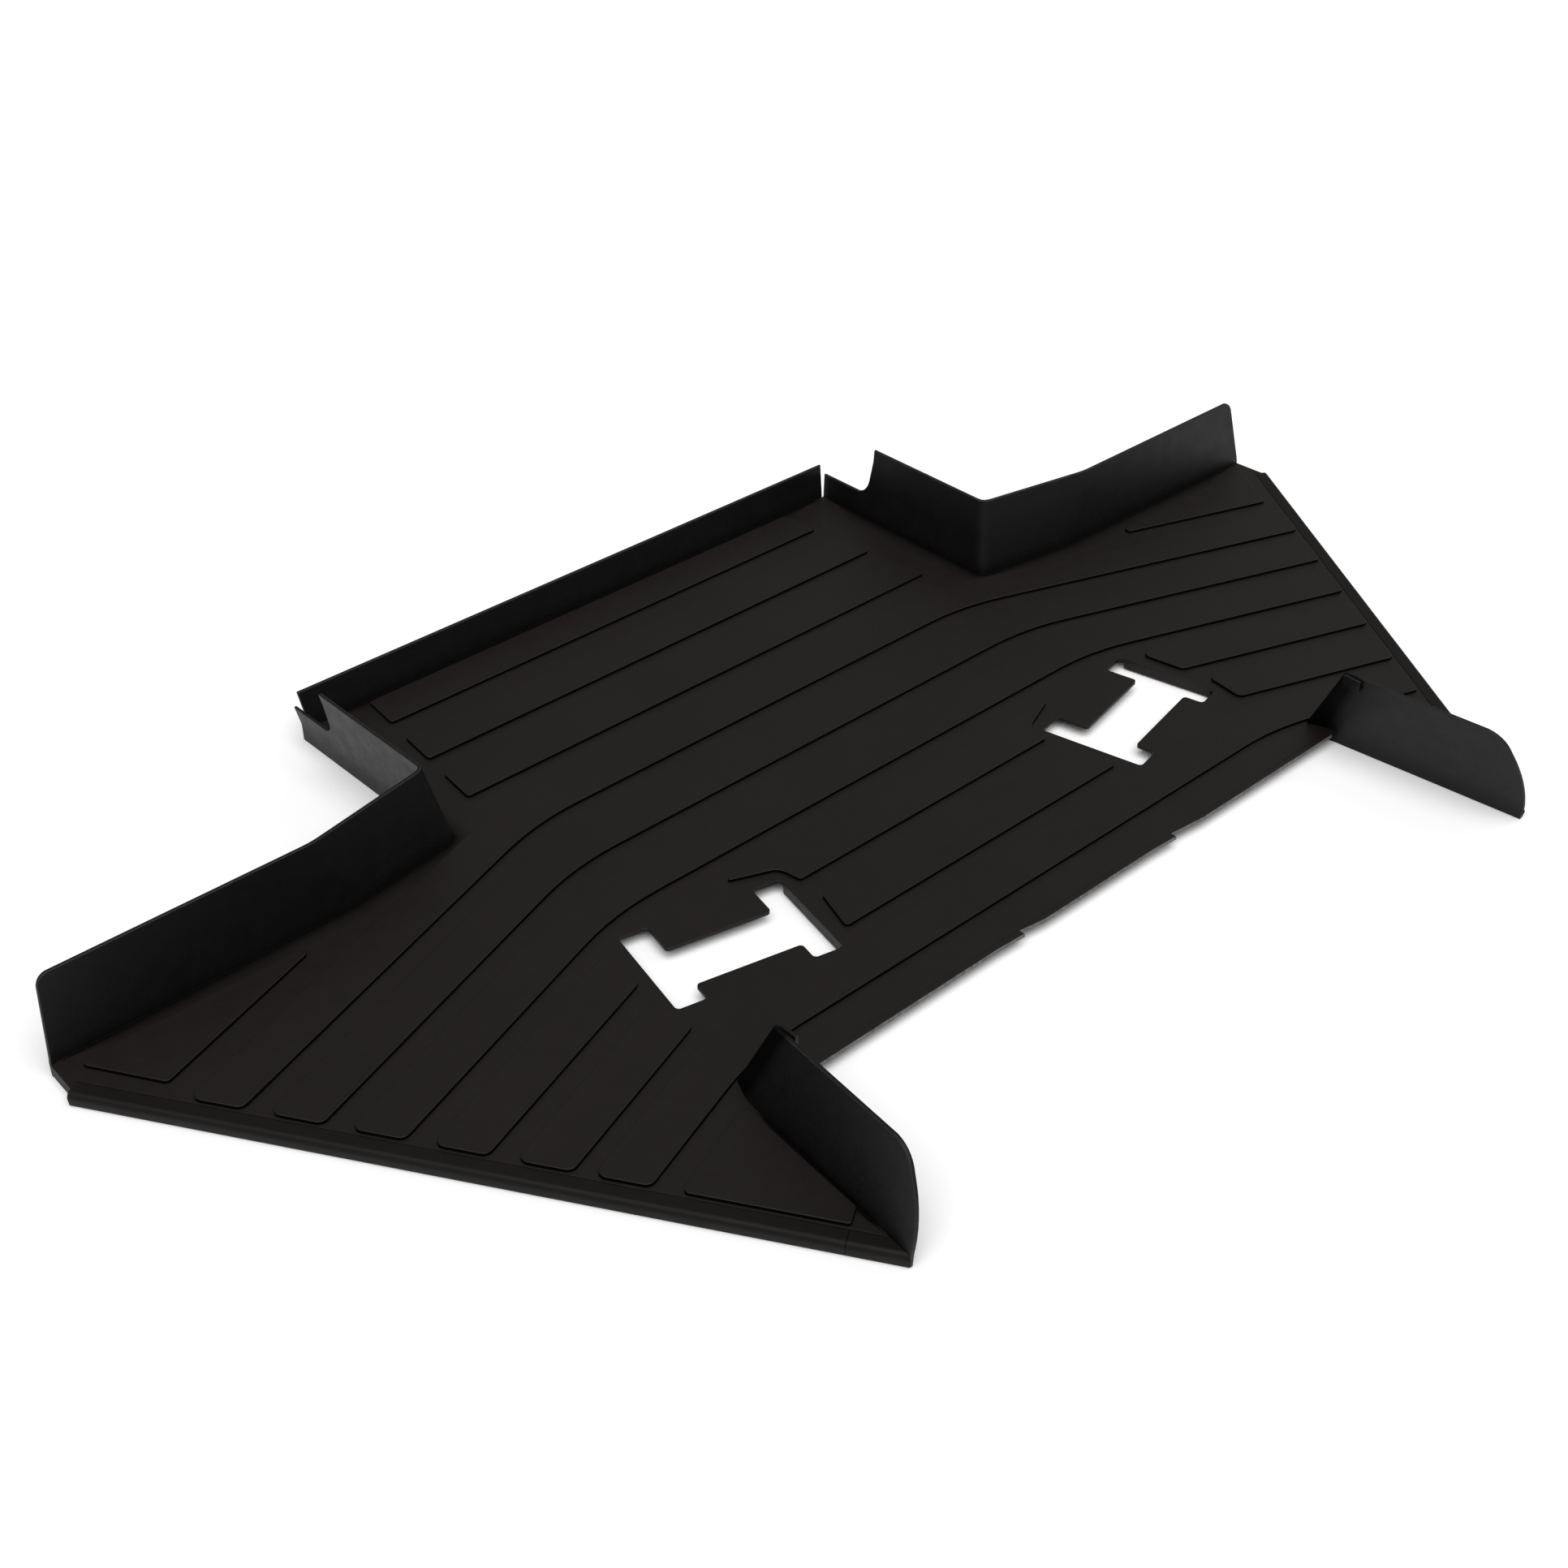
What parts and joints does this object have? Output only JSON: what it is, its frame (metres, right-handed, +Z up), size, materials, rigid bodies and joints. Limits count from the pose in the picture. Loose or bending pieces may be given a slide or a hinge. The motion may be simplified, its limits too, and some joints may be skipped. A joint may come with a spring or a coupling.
{
  "type": "truck floor liner",
  "caption": "Raised-edge moulded floor liner for a truck cab, with splayed wings, wheel-arch walls, front fins, door-sill lips, I-shaped bracket openings and tread slats.",
  "frame": {"origin": "middle of the footprint, at the level that the skirts stand on", "axes": "+X to the right-hand wing, +Y to the rear wall, +Z up"},
  "size_m": [1.5348, 0.8856, 0.09],
  "materials": {
    "tread_sheet": "fine matt grain",
    "wall_sheet": "satin, lightly grained",
    "edge_sheet": "semi-gloss"
  },
  "bodies": {
    "root": {"centre_floor": "tread_sheet", "centre_slat_1": "tread_sheet", "centre_slat_2": "tread_sheet", "cross_slat_1": "tread_sheet", "cross_slat_2": "tread_sheet", "cross_slat_3": "tread_sheet", "front_lip": "edge_sheet", "front_slat": "tread_sheet", "left_arch_slat": "tread_sheet", "left_arch_wall": "wall_sheet", "left_fin_clip": "wall_sheet", "left_fin_tip": "wall_sheet", "left_front_fin": "wall_sheet", "left_inner_collar": "wall_sheet", "left_outer_collar": "wall_sheet", "left_side_wall": "wall_sheet", "left_sill_end": "edge_sheet", "left_sill_lip": "edge_sheet", "left_tip_slat": "tread_sheet", "left_wing_floor": "tread_sheet", "left_wing_slat_1": "tread_sheet", "left_wing_slat_2": "tread_sheet", "rear_slat_1": "tread_sheet", "rear_slat_2": "tread_sheet", "rear_slat_3": "tread_sheet", "rear_wall": "wall_sheet", "right_arch_slat": "tread_sheet", "right_arch_wall": "wall_sheet", "right_fin_clip": "wall_sheet", "right_fin_tip": "wall_sheet", "right_front_fin": "wall_sheet", "right_inner_collar": "wall_sheet", "right_outer_collar": "wall_sheet", "right_side_wall": "wall_sheet", "right_sill_end": "edge_sheet", "right_sill_lip": "edge_sheet", "right_tip_slat": "tread_sheet", "right_wing_floor": "tread_sheet", "right_wing_slat_1": "tread_sheet", "right_wing_slat_2": "tread_sheet"}
  },
  "joints": []
}
